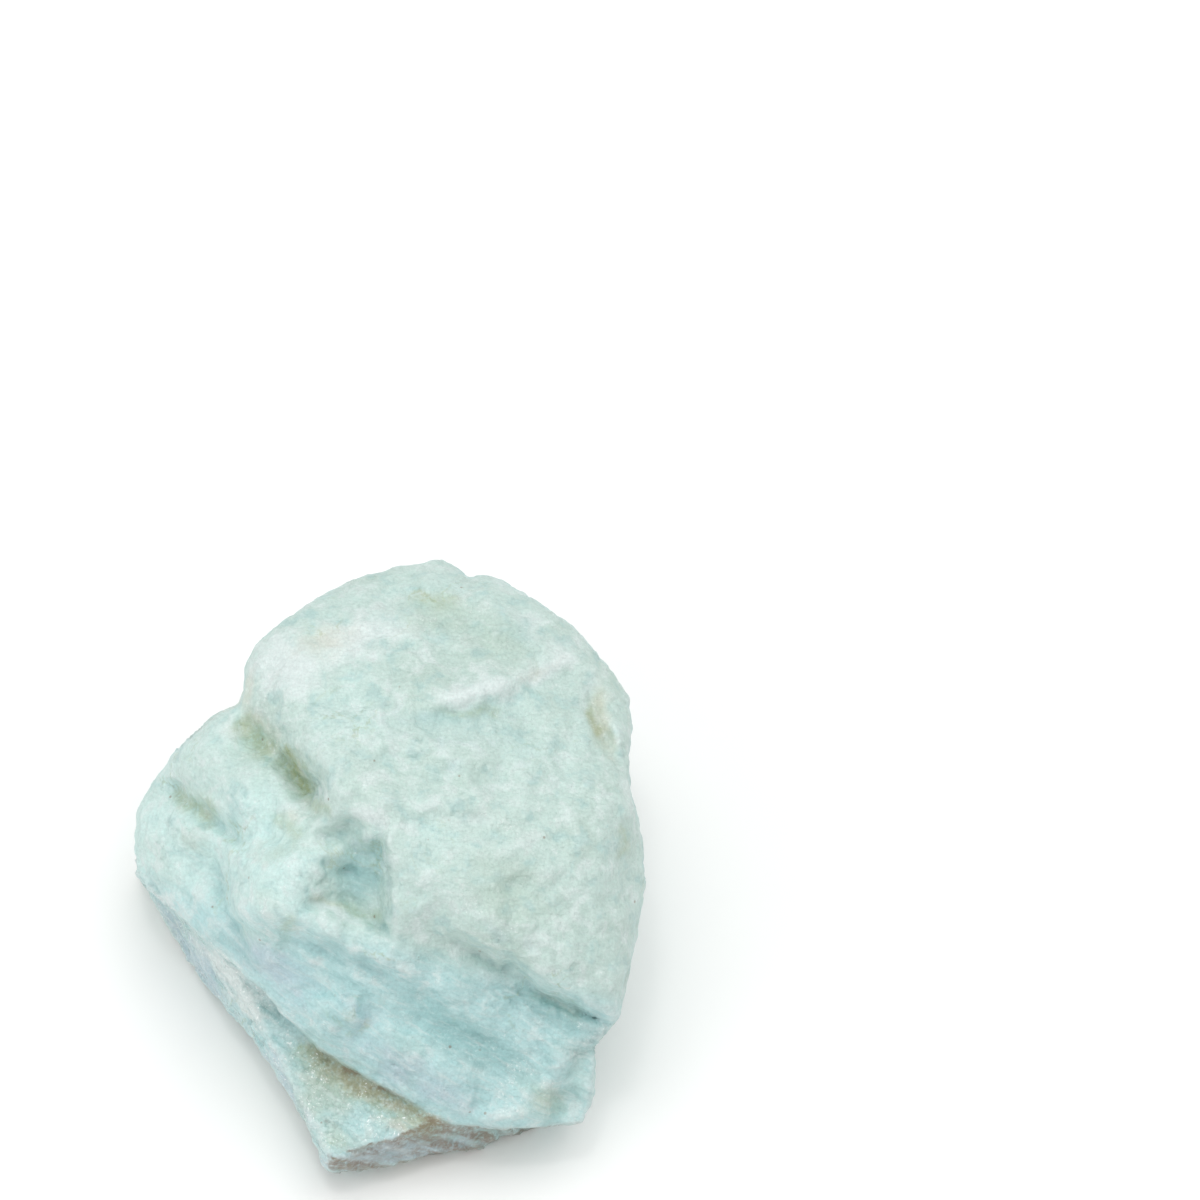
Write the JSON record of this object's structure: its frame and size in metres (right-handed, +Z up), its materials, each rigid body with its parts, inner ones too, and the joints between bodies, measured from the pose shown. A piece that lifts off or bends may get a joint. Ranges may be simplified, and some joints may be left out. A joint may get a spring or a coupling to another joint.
{
  "type": "rough amazonite",
  "caption": "Rough broken piece of pale blue-green amazonite with a lumpy face, a cleavage shelf along its lower edge and a flat spot to rest on.",
  "frame": {"origin": "centre of the bounding box at its bottom, on the surface that the stone rests on", "axes": "+Z up from the resting surface, +X to the right of the broken face, +Y away from the face, towards the back of the stone"},
  "size_m": [0.044, 0.05, 0.031],
  "materials": {
    "amazonite": "waxy broken feldspar, satin, with glossier cleavage faces"
  },
  "bodies": {
    "root": {"amazonite_stone": "amazonite"}
  },
  "joints": []
}
